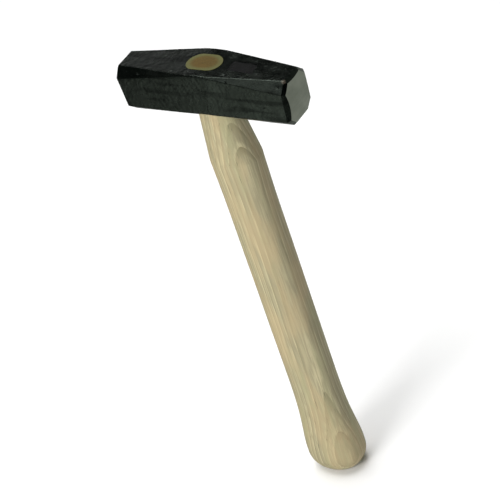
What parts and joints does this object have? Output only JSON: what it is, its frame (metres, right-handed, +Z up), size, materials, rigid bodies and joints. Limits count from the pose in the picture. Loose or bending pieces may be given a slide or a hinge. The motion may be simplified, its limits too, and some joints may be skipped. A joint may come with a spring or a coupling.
{
  "type": "lump hammer",
  "caption": "Lump hammer with a black forged steel head, bare domed faces, chamfered bent arms and a pale ash handle.",
  "frame": {"origin": "middle of the handle's butt end, the lowest point of the hammer", "axes": "+Z up the handle to the head, +X along the head to one striking face, +Y across the head"},
  "size_m": [0.1354, 0.035, 0.3563],
  "materials": {
    "black_painted_steel": "gloss black paint over forged steel, bare ground steel on the striking faces",
    "ash_wood": "sanded pale ash, thin satin varnish",
    "wedge_wood": "bare end grain, flush with the head"
  },
  "bodies": {
    "root": {"head": "black_painted_steel", "handle": "ash_wood", "eye_wedge": "wedge_wood"}
  },
  "joints": []
}
